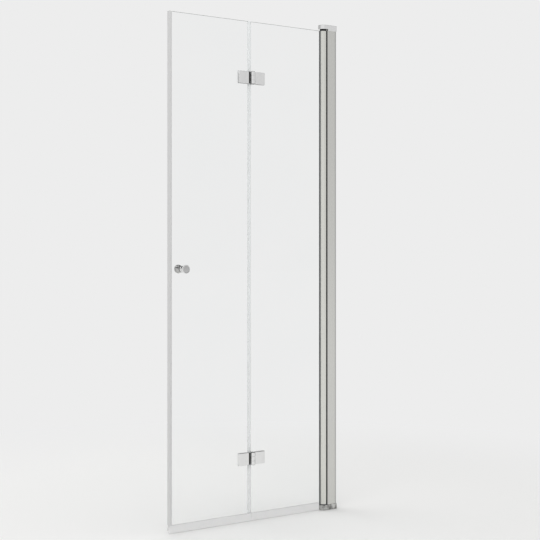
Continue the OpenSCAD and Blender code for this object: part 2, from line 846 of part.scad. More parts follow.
// Black strip that fills the slot beside the barrels, round the arm of the middle knuckle
module slot_strip(z) {
    strip_h = wing_h - 2 * strip_inset;
    color("dimgray") difference() {
        union() {
            translate([-fold_wing_x, strip_inset - wing_face, z - strip_h / 2])
                cube([strip_w, wing_t - 2 * strip_inset, strip_h]);
            strip_tongues(z);
        }
        translate([-fold_wing_x - cut, arm_y - arm_t, z - knuckle_h / 2])
            cube([strip_w + 2 * cut, arm_t + wing_t, knuckle_h]);
    }
}

// Plate on the shower side, with countersunk screw holes
module clamp_plate(screw_x, z) {
    color("lightgray") difference() {
        translate([-screw_x, 0, z]) on_shower_side() hinge_plate(clamp_w, clamp_h, clamp_t);
        at_wing_screws(screw_x, [z]) translate([0, 0, pad_y + clamp_t])
            sunk_hole(screw_r + screw_play, clamp_t + cut, screw_head_r);
    }
}

// Flat pad on the room face of the glass, with sleeves that line the holes
module hinge_pad(screw_x, z, width, height) {
    translate([-screw_x - width / 2, -pad_y, z - height / 2]) cube([width, pad_t, height]);
    at_wing_screws(screw_x, [z]) translate([0, 0, -glass_y])
        cylinder(r = sleeve_r, h = glass_y - free / 2);
}

// Pads on both faces of the glass; those under the wings lap over the ends of the wings
module hinge_pads(screw_x) {
    color("dimgray") for (z = [hinge_low, hinge_high]) difference() {
        union() {
            hinge_pad(screw_x, z, wing_w - 2 * pad_inset, wing_h);
            for (side = [0, 1]) translate([-screw_x, 0, z]) mirror([0, 0, side])
                lip_space(wing_w - 2 * pad_inset);
            on_shower_side()
                hinge_pad(screw_x, z, clamp_w - 2 * pad_inset, clamp_h - 2 * pad_inset);
        }
        at_wing_screws(screw_x, [z])
            cylinder(r = screw_r + screw_play, h = 4 * pad_y, center = true);
    }
}

module hinge_screws(screw_x) {
    color("gainsboro") at_wing_screws(screw_x) translate([0, 0, pad_y + clamp_t])
        sunk_screw(screw_r, screw_l, screw_head_r);
}

module hinge_pins() {
    color("lightsteelblue") for (z = [hinge_low, hinge_high]) at_fold(z)
        cylinder(r = hinge_pin_r, h = wing_h - 2 * end_cap_stem, center = true);
}

// Black caps that close the barrels over the ends of the pins
module end_caps() {
    color("dimgray") for (z = [hinge_low, hinge_high]) at_fold(z)
        for (side = [0, 1]) mirror([0, 0, side]) translate([0, 0, wing_h / 2 - end_cap_stem]) {
            cylinder(r = hinge_pin_r, h = end_cap_stem + end_cap_h);
            translate([0, 0, end_cap_stem]) cylinder(r = barrel_r - strip_inset, h = end_cap_h);
        }
}

module upper_barrel_wing() { barrel_wing(hinge_high); }
module lower_barrel_wing() { barrel_wing(hinge_low); }
module upper_knuckle_wing() { knuckle_wing(hinge_high); }
module lower_knuckle_wing() { knuckle_wing(hinge_low); }
module upper_slot_strip() { slot_strip(hinge_high); }
module lower_slot_strip() { slot_strip(hinge_low); }
module upper_wall_clamp() { clamp_plate(wall_screw_x, hinge_high); }
module lower_wall_clamp() { clamp_plate(wall_screw_x, hinge_low); }
module upper_fold_clamp() { clamp_plate(fold_screw_x, hinge_high); }
module lower_fold_clamp() { clamp_plate(fold_screw_x, hinge_low); }
module wall_leaf_pads() { hinge_pads(wall_screw_x); }
module folding_leaf_pads() { hinge_pads(fold_screw_x); }
module wall_leaf_screws() { hinge_screws(wall_screw_x); }
module folding_leaf_screws() { hinge_screws(fold_screw_x); }

// ---- Seals ----

// Bottom seal on the glass: a clip, a wiper lip down to the floor and a drip lip inside
module sweep_section() {
    web_z = glass_foot - web_t;
    drip_y = clip_y + drip_reach;
    drip_z = glass_foot - drip_drop;
    difference() {
        translate([-clip_y, web_z]) square([2 * clip_y, sweep_top - web_z]);
        translate([-glass_y, glass_foot]) square([glass_t, sweep_leg + cut]);
    }
    polygon([
        [-clip_y, web_z + cut], [-clip_y, floor_gap + lip_t], [lip_t / 2 - clip_y, floor_gap],
        [lip_t - clip_y, floor_gap + lip_t], [lip_t - clip_y, web_z + cut]
    ]);
    polygon([
        [clip_y - 2 * lip_t, web_z + cut], [drip_y - lip_t, drip_z], [drip_y, drip_z],
        [clip_y, web_z + cut]
    ]);
}

module wall_leaf_sweep() {
    color("lightgray") along_glass(pivot_x + cap_r + sweep_clear, fold_glass_x) sweep_section();
}

module folding_leaf_sweep() {
    color("lightgray") along_glass(fold_glass_x + sweep_gap, door_w) sweep_section();
}

// Plan of a clip over the vertical edge of the glass at distance x, open towards the wall
module edge_clip(x, leg) {
    difference() {
        translate([-x - seal_wall, -clip_y]) square([leg + seal_wall, 2 * clip_y]);
        translate([-x, -glass_y]) square([leg + cut, glass_t]);
    }
}

// Plan of the bulb between the leaves, or of its hollow, with a round end towards the wall
module bulb_plan(r) {
    bulb_at = fold_glass_x + free + bulb_r;
    translate([-bulb_at, 0]) circle(r);
    translate([-free_glass_x + bulb_r - r, -r])
        square([free_glass_x - bulb_at - bulb_r + r, 2 * r]);
}

// Seal between the leaves: a clip on the folding leaf's glass and a hollow bulb
module middle_seal() {
    color("gainsboro") translate([0, 0, sweep_top]) linear_extrude(upright_h) {
        mirror([1, 0]) edge_clip(-free_glass_x, middle_leg);
        difference() {
            bulb_plan(bulb_r);
            bulb_plan(bulb_r - seal_wall);
        }
    }
}

module closing_seal() {
    color("lightgray") translate([0, 0, sweep_top]) linear_extrude(upright_h) {
        edge_clip(close_glass_x, closing_leg);
        difference() {
            translate([-door_w, -closing_d / 2]) square([closing_w, closing_d]);
            magnet_plan();
        }
    }
}

module magnet_plan() {
    translate([-door_w + seal_wall, seal_wall - closing_d / 2])
        square([closing_w - 2 * seal_wall, closing_d - 2 * seal_wall]);
}

module closing_magnet() {
    color("dimgray") translate([0, 0, sweep_top]) linear_extrude(upright_h) magnet_plan();
}

// ---- Knobs ----

// Half outline of a knob: foot, waist, hollow flare and bevelled head
module knob_outline() {
    rim_z = knob_h - knob_rim_h;
    flare_w = knob_r - knob_edge - knob_waist_r;
    flare_h = rim_z - knob_foot_h - knob_waist_h;
    flare_r = (pow(flare_w, 2) + pow(flare_h, 2)) / (2 * flare_w);
    polygon([
        [0, 0], [knob_foot_r - knob_edge, 0], [knob_foot_r, knob_edge],
        [knob_foot_r, knob_foot_h - knob_edge], [knob_foot_r - knob_edge, knob_foot_h],
        [0, knob_foot_h]
    ]);
    square([knob_waist_r, rim_z]);
    difference() {
        translate([0, knob_foot_h + knob_waist_h]) square([knob_r - knob_edge, flare_h]);
        translate([knob_waist_r + flare_r, knob_foot_h + knob_waist_h]) circle(flare_r);
    }
    polygon([
        [0, rim_z], [knob_r - knob_edge, rim_z], [knob_r, rim_z + knob_edge],
        [knob_r, knob_h - knob_bevel], [knob_r - knob_bevel, knob_h], [0, knob_h]
    ]);
}

// Knob on the room side
module knob() {
    translate([-knob_x, -knob_y, knob_z]) rotate([90, 0, 0]) difference() {
        rotate_extrude() knob_outline();
        translate([0, 0, -cut]) cylinder(r = stud_r, h = stud_reach + cut);
    }
}

module room_knob() {
    color("lightgray") knob();
}

module shower_knob() {
    color("lightgray") on_shower_side() knob();
}

module knob_stud() {
    color("lightsteelblue") translate([-knob_x, 0, knob_z]) rotate([90, 0, 0])
        cylinder(r = stud_r, h = 2 * (knob_y + stud_reach), center = true);
}

module knob_washers() {
    color("dimgray") for (side = [0, 1]) mirror([0, side, 0])
        translate([-knob_x, -glass_y, knob_z]) rotate([90, 0, 0]) difference() {
            union() {
                cylinder(r = knob_foot_r - knob_edge, h = washer_t);
                translate([0, 0, free / 2 - glass_y]) cylinder(r = sleeve_r, h = glass_y);
            }
            translate([0, 0, -glass_t]) cylinder(r = stud_r + run_play, h = 2 * glass_t);
        }
}

wall_channel();
post_profile();
post_seals();
top_cap();
bottom_cap();
cap_screws();
adjusting_screws();
pivot_pin();
fixed_cam();
top_bush();
top_spindle();
pivot_tube();
rising_cam();
top_plug();
plug_screws();
room_gasket();
shower_gasket();
setting_block();
wall_leaf_glass();
wall_leaf_sweep();
upper_barrel_wing();
lower_barrel_wing();
upper_wall_clamp();
lower_wall_clamp();
wall_leaf_pads();
wall_leaf_screws();
hinge_pins();
end_caps();
folding_leaf_glass();
folding_leaf_sweep();
middle_seal();
closing_seal();
closing_magnet();
upper_knuckle_wing();
lower_knuckle_wing();
upper_slot_strip();
lower_slot_strip();
upper_fold_clamp();
lower_fold_clamp();
folding_leaf_pads();
folding_leaf_screws();
room_knob();
shower_knob();
knob_stud();
knob_washers();
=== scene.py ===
import json
import math
import bpy
import bmesh
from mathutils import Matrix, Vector


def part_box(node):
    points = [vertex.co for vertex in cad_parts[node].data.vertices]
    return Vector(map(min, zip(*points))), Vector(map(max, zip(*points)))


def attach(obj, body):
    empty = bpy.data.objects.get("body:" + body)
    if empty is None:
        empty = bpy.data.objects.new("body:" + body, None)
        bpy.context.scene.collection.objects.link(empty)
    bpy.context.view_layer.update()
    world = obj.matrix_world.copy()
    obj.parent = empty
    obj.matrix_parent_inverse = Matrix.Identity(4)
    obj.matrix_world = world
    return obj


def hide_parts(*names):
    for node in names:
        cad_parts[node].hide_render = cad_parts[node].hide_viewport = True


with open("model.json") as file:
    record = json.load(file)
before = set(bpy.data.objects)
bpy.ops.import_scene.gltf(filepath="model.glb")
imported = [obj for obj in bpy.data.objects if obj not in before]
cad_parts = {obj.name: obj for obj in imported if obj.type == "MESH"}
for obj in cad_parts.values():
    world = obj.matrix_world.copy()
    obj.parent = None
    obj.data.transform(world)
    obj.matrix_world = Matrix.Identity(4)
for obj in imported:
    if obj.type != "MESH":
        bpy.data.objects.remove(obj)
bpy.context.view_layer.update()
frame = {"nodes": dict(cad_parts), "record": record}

mm = 0.001


def linear(hexColour):
    # sRGB hex to the linear numbers that a shader takes
    parts = [int(hexColour[i:i + 2], 16) / 255 for i in (1, 3, 5)]
    return [c / 12.92 if c <= 0.04045 else ((c + 0.055) / 1.055) ** 2.4 for c in parts] + [1.0]


def perMm(size):
    # texture scale that makes one feature as long as the size in mm
    return 1 / (size * mm)


def addNode(tree, kind, settings=None, links=None):
    # settings are sockets by name or number, or else properties; links feed sockets
    node = tree.nodes.new(kind)
    for key, value in (settings or {}).items():
        if isinstance(key, int) or key in node.inputs:
            node.inputs[key].default_value = value
        else:
            setattr(node, key, value)
    for key, source in (links or {}).items():
        tree.links.new(source, node.inputs[key])
    return node


def emptyTree(owner):
    # clears the nodes of a world or a material
    owner.use_nodes = True
    owner.node_tree.nodes.clear()
    return owner.node_tree


cameraSet = {
    "place": (-2.883, -3.770, 1.081),
    "yaw": 34.2,                 # turned from +Y towards the wall, and level
    "lens": 75.9,
    "sensor": 36,
    "shiftY": -0.041,            # the picture's horizon is above its middle
}


def placeCamera():
    camera = bpy.data.objects.new("camera", bpy.data.cameras.new("camera"))
    camera.data.lens = cameraSet["lens"]
    camera.data.sensor_width = cameraSet["sensor"]
    camera.data.shift_y = cameraSet["shiftY"]
    camera.location = cameraSet["place"]
    camera.rotation_euler = (math.radians(90), 0, -math.radians(cameraSet["yaw"]))
    scene = bpy.context.scene
    scene.collection.objects.link(camera)
    scene.camera = camera
    scene.view_settings.view_transform = "Standard"


placeCamera()
print("camera placed")

studio = {
    "backdrop": "#ededed",
    "fill": "#e6e6e6",           # what the surroundings give to matt surfaces
    "floor": "#f4f4f3",
    "floorSide": 80,             # metres, as are the next four
    "floorMiddle": -0.4,         # under the middle of the door
    "floorDrop": 0.0004,         # keeps the floor off the door's lowest faces
    "floorClear": 1.1,           # round the door, where the floor takes its shadow
    "floorFade": 2.6,            # from here on the floor is as bright as the backdrop
}

mirroredSides = {
    # what metal mirrors: the direction in which each side lies, and the cosines to it where the
    # side begins and where it is full; through is for sides that show through the glass too
    "ahead": {"colour": "#e0e0e0", "way": (0.56, -0.83, 0), "begins": 0.6, "full": 0.95,
              "through": False},         # the studio that the flat fronts mirror
    "aside": {"colour": "#c2c2c2", "way": (-0.56, 0.83, 0), "begins": 0.35, "full": 0.95,
              "through": True},          # beyond the closing edge
    "behind": {"colour": "#2c2c2c", "way": (0.526, 0.78, 0.342), "begins": 0.956, "full": 0.988,
               "through": False},        # an unlit strip above the camera's eye line
    "up": {"colour": "#242424", "way": (0, 0, 1), "begins": 0.36, "full": 0.6,
           "through": True},             # the dark upper walls
    "overhead": {"colour": "#c8c8c8", "way": (0, 0, 1), "begins": 0.7, "full": 0.84,
                 "through": True},       # the pale ceiling
}


def makeWorld():
    # the camera and the glass see the backdrop; metal mirrors a studio that is darker above,
    # behind and beside the door
    world = bpy.data.worlds.new("studio")
    bpy.context.scene.world = world
    tree = emptyTree(world)
    path = addNode(tree, "ShaderNodeLightPath")
    # rays straight off metal, and then rays that came off it at any time
    straight = addNode(tree, "ShaderNodeMath", {"operation": "SUBTRACT", "use_clamp": True},
                       {0: path.outputs["Is Glossy Ray"],
                        1: path.outputs["Is Transmission Ray"]}).outputs[0]
    ever = addNode(tree, "ShaderNodeMath", {"operation": "MINIMUM", 1: 1.0},
                   {0: path.outputs["Glossy Depth"]}).outputs[0]
    way = addNode(tree, "ShaderNodeTexCoord").outputs["Generated"]
    view = addNode(tree, "ShaderNodeRGB").outputs[0]
    view.default_value = linear(studio["backdrop"])
    for side in mirroredSides.values():
        along = addNode(tree, "ShaderNodeVectorMath",
                        {"operation": "DOT_PRODUCT", 1: side["way"]}, {0: way})
        share = addNode(tree, "ShaderNodeMapRange",
                        {"interpolation_type": "SMOOTHSTEP",
                         "From Min": side["begins"], "From Max": side["full"]},
                        {"Value": along.outputs["Value"]})
        share = addNode(tree, "ShaderNodeMath", {"operation": "MULTIPLY"},
                        {0: share.outputs[0], 1: ever if side["through"] else straight})
        view = addNode(tree, "ShaderNodeMix", {"data_type": "RGBA", 7: linear(side["colour"])},
                       {0: share.outputs[0], 6: view}).outputs[2]
    seen = addNode(tree, "ShaderNodeMath", {"operation": "MAXIMUM"},
                   {0: path.outputs["Is Camera Ray"], 1: path.outputs["Is Transmission Ray"]})
    seen = addNode(tree, "ShaderNodeMath", {"operation": "MAXIMUM"},
                   {0: seen.outputs[0], 1: straight})
    colour = addNode(tree, "ShaderNodeMix", {"data_type": "RGBA", 6: linear(studio["fill"])},
                     {0: seen.outputs[0], 7: view})
    light = addNode(tree, "ShaderNodeBackground", links={"Color": colour.outputs[2]})
    addNode(tree, "ShaderNodeOutputWorld", links={"Surface": light.outputs[0]})


def makeFloor():
    # matt paint near the door, where it takes the shadow, and as bright as the backdrop further out
    bpy.ops.mesh.primitive_plane_add(
        size=studio["floorSide"], location=(studio["floorMiddle"], 0, -studio["floorDrop"]))
    floor = bpy.context.object
    floor.name = "floor"
    material = bpy.data.materials.new("painted studio floor")
    tree = emptyTree(material)
    place = addNode(tree, "ShaderNodeTexCoord").outputs["Object"]
    distance = addNode(tree, "ShaderNodeVectorMath", {"operation": "LENGTH"}, {0: place})
    far = addNode(tree, "ShaderNodeMapRange",
                  {"interpolation_type": "SMOOTHSTEP", "From Min": studio["floorClear"],
                   "From Max": studio["floorFade"]}, {"Value": distance.outputs["Value"]})
    paint = addNode(tree, "ShaderNodeBsdfDiffuse", {"Color": linear(studio["floor"])})
    glow = addNode(tree, "ShaderNodeEmission", {"Color": linear(studio["backdrop"])})
    mix = addNode(tree, "ShaderNodeMixShader",
                  links={0: far.outputs[0], 1: paint.outputs[0], 2: glow.outputs[0]})
    addNode(tree, "ShaderNodeOutputMaterial", links={"Surface": mix.outputs[0]})
    floor.data.materials.append(material)


lamps = {
    # metres and watts; wide and weak, so that neither burns out in the glass
    "key": {"place": (-2.6, -2.4, 3.6), "side": 3.0, "watts": 34},
    "back": {"place": (-1.4, 3.0, 3.6), "side": 3.0, "watts": 24},
}
lampAim = Vector((-0.4, 0, 1.0))     # the middle of the door


def makeLamps():
    for name, settings in lamps.items():
        lamp = bpy.data.lights.new(name, "AREA")
        lamp.size = settings["side"]
        lamp.energy = settings["watts"]
        holder = bpy.data.objects.new(name, lamp)
        holder.location = settings["place"]
        beam = lampAim - Vector(settings["place"])
        holder.rotation_euler = beam.to_track_quat("-Z", "Y").to_euler()
        holder.visible_glossy = False        # the metal mirrors the studio, not the lamps
        bpy.context.scene.collection.objects.link(holder)


makeWorld()
makeFloor()
makeLamps()
print("studio ready")


def startMaterial(name, sockets=None):
    material = bpy.data.materials.new(name)
    tree = emptyTree(material)
    shader = addNode(tree, "ShaderNodeBsdfPrincipled", sockets)
    addNode(tree, "ShaderNodeOutputMaterial", links={"Surface": shader.outputs[0]})
    place = addNode(tree, "ShaderNodeTexCoord").outputs["Object"]
    return material, tree, shader, place


silverAnodised = {"colour": "#e8e8e2", "dark": "#d9d9d3", "rough": (0.2, 0.3),
                  "streakMm": 0.9, "streakLongMm": 500, "reliefMm": 0.004}
mattAnodised = {**silverAnodised, "colour": "#dcdcd8", "dark": "#cececa"}
millFinish = {**silverAnodised, "colour": "#c4c4c2", "dark": "#b2b2b0", "rough": (0.32, 0.45)}


def makeAluminium(name, settings):
    # extruded aluminium, anodised or bare: satin, with draw lines along its length, which are
    # drawn coarser than the real ones so that they show
    material, tree, shader, place = startMaterial(name, {"Metallic": 1.0})
    across = perMm(settings["streakMm"])
    scale = (across, across, perMm(settings["streakLongMm"]))
    lines = addNode(tree, "ShaderNodeMapping", {"Scale": scale}, {"Vector": place})
    noise = addNode(tree, "ShaderNodeTexNoise", {"Scale": 1.0, "Detail": 3.0},
                    {"Vector": lines.outputs[0]})
    rough = addNode(tree, "ShaderNodeMapRange",
                    {"To Min": settings["rough"][0], "To Max": settings["rough"][1]},
                    {"Value": noise.outputs["Fac"]})
    colour = addNode(tree, "ShaderNodeMix",
                     {"data_type": "RGBA", 6: linear(settings["dark"]), 7: linear(settings["colour"])},
                     {0: noise.outputs["Fac"]})
    bump = addNode(tree, "ShaderNodeBump", {"Strength": 0.3, "Distance": settings["reliefMm"] * mm},
                   {"Height": noise.outputs["Fac"]})
    tree.links.new(rough.outputs[0], shader.inputs["Roughness"])
    tree.links.new(colour.outputs[2], shader.inputs["Base Color"])
    tree.links.new(bump.outputs[0], shader.inputs["Normal"])
    return material


polishedChrome = {"colour": "#eeeeee", "dark": "#e9e9e9", "rough": (0.05, 0.1), "spotsAndShadeMm": 9}
dulledChrome = {"colour": "#c4c4c2", "dark": "#bababa", "rough": (0.1, 0.26), "spotsAndShadeMm": 4}
# the bottom cap's chrome: darker, with dark blotches, as painted shade for the shadowed floor that the
# cap mirrors
paintedShadeChrome = {"colour": "#d6d6d4", "dark": "#848482", "rough": (0.08, 0.24), "spotsAndShadeMm": 12}
spotsAndShadeSpan = (0.35, 0.65)       # the noise hardly leaves this span, so all of the tones come up


def makeChrome(name, settings):
    # chrome plate on cast brass: mirror bright when wiped, blotched where water has dried on it; on the
    # bottom cap the darker, strongly blotched colour is painted shade for the shadowed floor that it
    # mirrors
    material, tree, shader, place = startMaterial(name, {"Metallic": 1.0})
    spotsAndShade = addNode(tree, "ShaderNodeTexNoise",
                     {"Scale": perMm(settings["spotsAndShadeMm"]), "Detail": 4.0}, {"Vector": place})
    share = addNode(tree, "ShaderNodeMapRange",
                    {"From Min": spotsAndShadeSpan[0], "From Max": spotsAndShadeSpan[1]},
                    {"Value": spotsAndShade.outputs["Fac"]})
    rough = addNode(tree, "ShaderNodeMapRange",
                    {"To Min": settings["rough"][0], "To Max": settings["rough"][1]},
                    {"Value": share.outputs[0]})
    colour = addNode(tree, "ShaderNodeMix",
                     {"data_type": "RGBA", 6: linear(settings["dark"]), 7: linear(settings["colour"])},
                     {0: share.outputs[0]})
    tree.links.new(rough.outputs[0], shader.inputs["Roughness"])
    tree.links.new(colour.outputs[2], shader.inputs["Base Color"])
    return material


spunFace = {"colour": "#c2c2c2", "rough": (0.28, 0.4), "ringMm": 3.14, "reliefMm": 0.01}
waveTurn = 20       # a wave texture of scale 1 turns by this many radians per metre


def makeSpunChrome(name, settings):
    # chrome over a lathe-turned face: rings round the piece's own axis, satin in the light; they
    # are drawn far wider than the tool's marks so that they show
    material, tree, shader, place = startMaterial(
        name, {"Metallic": 1.0, "Base Color": linear(settings["colour"])})
    scale = 2 * math.pi / waveTurn * perMm(settings["ringMm"])
    rings = addNode(tree, "ShaderNodeTexWave",
                    {"wave_type": "RINGS", "rings_direction": "Y",
                     "Scale": scale, "Distortion": 1.5, "Detail": 2.0}, {"Vector": place})
    rough = addNode(tree, "ShaderNodeMapRange",
                    {"To Min": settings["rough"][0], "To Max": settings["rough"][1]},
                    {"Value": rings.outputs["Fac"]})
    bump = addNode(tree, "ShaderNodeBump", {"Strength": 0.5, "Distance": settings["reliefMm"] * mm},
                   {"Height": rings.outputs["Fac"]})
    tree.links.new(rough.outputs[0], shader.inputs["Roughness"])
    tree.links.new(bump.outputs[0], shader.inputs["Normal"])
    return material


stainless = {"colour": "#c6c6c4", "rough": (0.22, 0.34), "grainMm": 0.25}


def makeStainless(name, settings):
    # machined stainless steel: dull grey metal with a fine turned grain
    material, tree, shader, place = startMaterial(
        name, {"Metallic": 1.0, "Base Color": linear(settings["colour"])})
    grain = addNode(tree, "ShaderNodeTexNoise",
                    {"Scale": perMm(settings["grainMm"]), "Detail": 2.0}, {"Vector": place})
    rough = addNode(tree, "ShaderNodeMapRange",
                    {"To Min": settings["rough"][0], "To Max": settings["rough"][1]},
                    {"Value": grain.outputs["Fac"]})
    tree.links.new(rough.outputs[0], shader.inputs["Roughness"])
    return material


floatGlass = {
    "colour": "#ffffff", "dark": "#fcfdfd", "cloudMm": 250, "rough": 0.0, "ior": 1.52,
    "groundTop": "#5a615e", "groundRough": 0.45, "groundMm": 0.9,
    "shadow": "#fafbfb",         # what passes light on its way to a lamp
    "edge": "#f3f5f4",           # what light trapped in the sheet takes on as it leaves
    "bounces": 4.5,              # light with more bounces than this counts as trapped
}


def makeGlass(name, settings):
    # toughened clear float glass: almost colourless, with a trace of green at its edges, polished
    # upright edges and a ground top edge
    material, tree, shader, place = startMaterial(
        name, {"IOR": settings["ior"], "Transmission Weight": 1.0})
    cloud = addNode(tree, "ShaderNodeTexNoise", {"Scale": perMm(settings["cloudMm"])},
                    {"Vector": place})
    colour = addNode(tree, "ShaderNodeMix",
                     {"data_type": "RGBA", 6: linear(settings["dark"]), 7: linear(settings["colour"])},
                     {0: cloud.outputs["Fac"]})
    top = max(corner[2] for corner in frame["nodes"]["wall_leaf_glass"].bound_box)
    height = addNode(tree, "ShaderNodeSeparateXYZ", links={0: place}).outputs["Z"]
    ground = addNode(tree, "ShaderNodeMath",
                     {"operation": "GREATER_THAN", 1: top - settings["groundMm"] * mm}, {0: height})
    colour = addNode(tree, "ShaderNodeMix", {"data_type": "RGBA", 7: linear(settings["groundTop"])},
                     {0: ground.outputs[0], 6: colour.outputs[2]})
    rough = addNode(tree, "ShaderNodeMapRange",
                    {"To Min": settings["rough"], "To Max": settings["groundRough"]},
                    {"Value": ground.outputs[0]})
    tree.links.new(colour.outputs[2], shader.inputs["Base Color"])
    tree.links.new(rough.outputs[0], shader.inputs["Roughness"])
    # light that has been thrown to and fro in the sheet leaves it, so the edges don't go black
    path = addNode(tree, "ShaderNodeLightPath")
    trapped = addNode(tree, "ShaderNodeMath", {"operation": "GREATER_THAN", 1: settings["bounces"]},
                      {0: path.outputs["Ray Depth"]})
    tint = addNode(tree, "ShaderNodeMix",
                   {"data_type": "RGBA", 6: linear(settings["shadow"]), 7: linear(settings["edge"])},
                   {0: trapped.outputs[0]})
    clear = addNode(tree, "ShaderNodeBsdfTransparent", links={"Color": tint.outputs[2]})
    leaves = addNode(tree, "ShaderNodeMath", {"operation": "MAXIMUM"},
                     {0: trapped.outputs[0], 1: path.outputs["Is Shadow Ray"]})
    mix = addNode(tree, "ShaderNodeMixShader",
                  links={0: leaves.outputs[0], 1: shader.outputs[0], 2: clear.outputs[0]})
    tree.links.new(mix.outputs[0], tree.nodes["Material Output"].inputs["Surface"])
    return material


plastics = {
    # by the record's slots, apart from pale_seal; clear is the share of light that passes
    "grey_seal": {"name": "extruded grey PVC", "colour": "#e4e4e4", "dark": "#dadada",
                  "rough": 0.38, "grainMm": 3, "reliefMm": 0.02, "clear": 0.12},       # milky satin
    "pale_seal": {"name": "extruded pale PVC", "colour": "#f6f6f6", "dark": "#eeeeee",
                  "rough": 0.38, "grainMm": 3, "reliefMm": 0.02, "clear": 0.16},       # the same, paler
    "clear_seal": {"name": "extruded clear PVC", "colour": "#f3f5f5", "dark": "#eff1f2",
                   "rough": 0.3, "grainMm": 3, "reliefMm": 0.008, "clear": 0.65},      # a faint haze
    # the black gasket between tube and post is kept this dark to stand for the shade in that narrow gap
    # as well: real rubber, partly painted shade
    "black_rubber": {"name": "extruded EPDM rubber", "colour": "#0f0f0f", "dark": "#090909",
                     "rough": 0.62, "grainMm": 1.2, "reliefMm": 0.03},                 # dull black
    "dark_gasket": {"name": "extruded grey gasket rubber", "colour": "#6a6c6d", "dark": "#5c5e5f",
                    "rough": 0.55, "grainMm": 1.2, "reliefMm": 0.03},                  # dull grey
    # the black strip in each hinge's slot also stands for the deep shade in that slot: real nylon,
    # partly painted shade
    "black_nylon": {"name": "moulded black nylon", "colour": "#1f1f20", "dark": "#161617",
                    "rough": 0.45, "grainMm": 0.6, "reliefMm": 0.02},                  # satin black
    "grey_nylon": {"name": "moulded grey nylon", "colour": "#6f7174", "dark": "#636568",
                   "rough": 0.5, "grainMm": 0.6, "reliefMm": 0.02},                    # satin grey
    "white_acetal": {"name": "moulded white acetal", "colour": "#eeeeea", "dark": "#e4e4e0",
                     "rough": 0.35, "grainMm": 0.6, "reliefMm": 0.02},                 # waxy white
    "magnet_strip": {"name": "extruded magnet strip", "colour": "#5b5550", "dark": "#4c4743",
                     "rough": 0.6, "grainMm": 0.8, "reliefMm": 0.02},                  # dull brown
}
shineSpread = 0.06      # how far the grain moves the roughness either way


def makePlastic(settings):
    # moulded or extruded plastic and rubber: an even colour with a fine skin texture
    material, tree, shader, place = startMaterial(settings["name"])
    grain = addNode(tree, "ShaderNodeTexNoise",
                    {"Scale": perMm(settings["grainMm"]), "Detail": 3.0}, {"Vector": place})
    tone = addNode(tree, "ShaderNodeMix",
                   {"data_type": "RGBA", 6: linear(settings["dark"]), 7: linear(settings["colour"])},
                   {0: grain.outputs["Fac"]})
    shine = addNode(tree, "ShaderNodeMapRange",
                    {"To Min": settings["rough"] - shineSpread,
                     "To Max": settings["rough"] + shineSpread}, {"Value": grain.outputs["Fac"]})
    bump = addNode(tree, "ShaderNodeBump", {"Strength": 0.4, "Distance": settings["reliefMm"] * mm},
                   {"Height": grain.outputs["Fac"]})
    tree.links.new(tone.outputs[2], shader.inputs["Base Color"])
    tree.links.new(shine.outputs[0], shader.inputs["Roughness"])
    tree.links.new(bump.outputs[0], shader.inputs["Normal"])
    if "clear" in settings:
        clear = addNode(tree, "ShaderNodeBsdfTransparent")
        mix = addNode(tree, "ShaderNodeMixShader", {0: settings["clear"]},
                      {1: shader.outputs[0], 2: clear.outputs[0]})
        tree.links.new(mix.outputs[0], tree.nodes["Material Output"].inputs["Surface"])
    return material


finishes = {slot: makePlastic(settings) for slot, settings in plastics.items()}
finishes["plain_aluminium"] = makeAluminium("mill finish aluminium", millFinish)
finishes["bright_aluminium"] = makeAluminium("silver anodised aluminium", silverAnodised)
finishes["chrome"] = makeChrome("polished chrome plate", polishedChrome)
finishes["steel"] = makeStainless("machined stainless steel", stainless)
finishes["clear_glass"] = makeGlass("toughened clear float glass", floatGlass)
postAluminium = makeAluminium("matt silver anodised aluminium", mattAnodised)
dullChrome = makeChrome("chrome plate dulled by water", dulledChrome)
# the bottom cap's chrome, darkened with painted shade
paintedShadeCapChrome = makeChrome("chrome plate with painted shade", paintedShadeChrome)
spunChrome = makeSpunChrome("spun chrome plate", spunFace)

ownFinishes = {
    # nodes whose finish isn't quite that of their slot
    # painted shade: the cap's chrome is darkened to stand for the shadowed floor that it mirrors
    "bottom_cap": paintedShadeCapChrome,
    "post_profile": postAluminium,
    "wall_leaf_sweep": finishes["pale_seal"],
    "folding_leaf_sweep": finishes["pale_seal"],
}


def dressNodes():
    slots = {part["node"]: part["material_slot"] for part in frame["record"]["subparts"]}
    for nodeName, piece in frame["nodes"].items():
        piece.data.materials.clear()
        piece.data.materials.append(ownFinishes.get(nodeName, finishes[slots[nodeName]]))
    print("materials on", len(frame["nodes"]), "nodes")


dressNodes()

knob = {
    # mm; the head's radius and the height come from the CAD node
    "footRadius": 13, "footHeight": 5, "waistRadius": 8.5, "waistHeight": 3, "rimHeight": 5,
    "footRound": 0.7, "rimRound": 1.2, "rootRound": 1.0,
    "faceRadius": 14.2, "faceSink": 0.35, "faceCrown": 1.1,     # the spun face inside the rim
    "segments": 128, "flareSteps": 18, "faceSteps": 10, "roundSteps": 6,
}


def roundCorners(points, steps):
    # points are (x, y, radius); each corner with a radius becomes an arc
    outline = []
    for i, (x, y, radius) in enumerate(points):
        if not radius or i in (0, len(points) - 1):
            outline.append((x, y))
            continue
        corner = Vector((x, y))
        back = (Vector(points[i - 1][:2]) - corner).normalized()
        ahead = (Vector(points[i + 1][:2]) - corner).normalized()
        half = back.angle(ahead) / 2
        middle = corner + (back + ahead).normalized() * radius / math.sin(half)
        start, end = (corner + way * radius / math.tan(half) - middle for way in (back, ahead))
        sweep = start.angle_signed(end)
        for step in range(steps + 1):
            turn = -sweep * step / steps
            outline.append((middle.x + start.x * math.cos(turn) - start.y * math.sin(turn),
                            middle.y + start.x * math.sin(turn) + start.y * math.cos(turn)))
    return outline


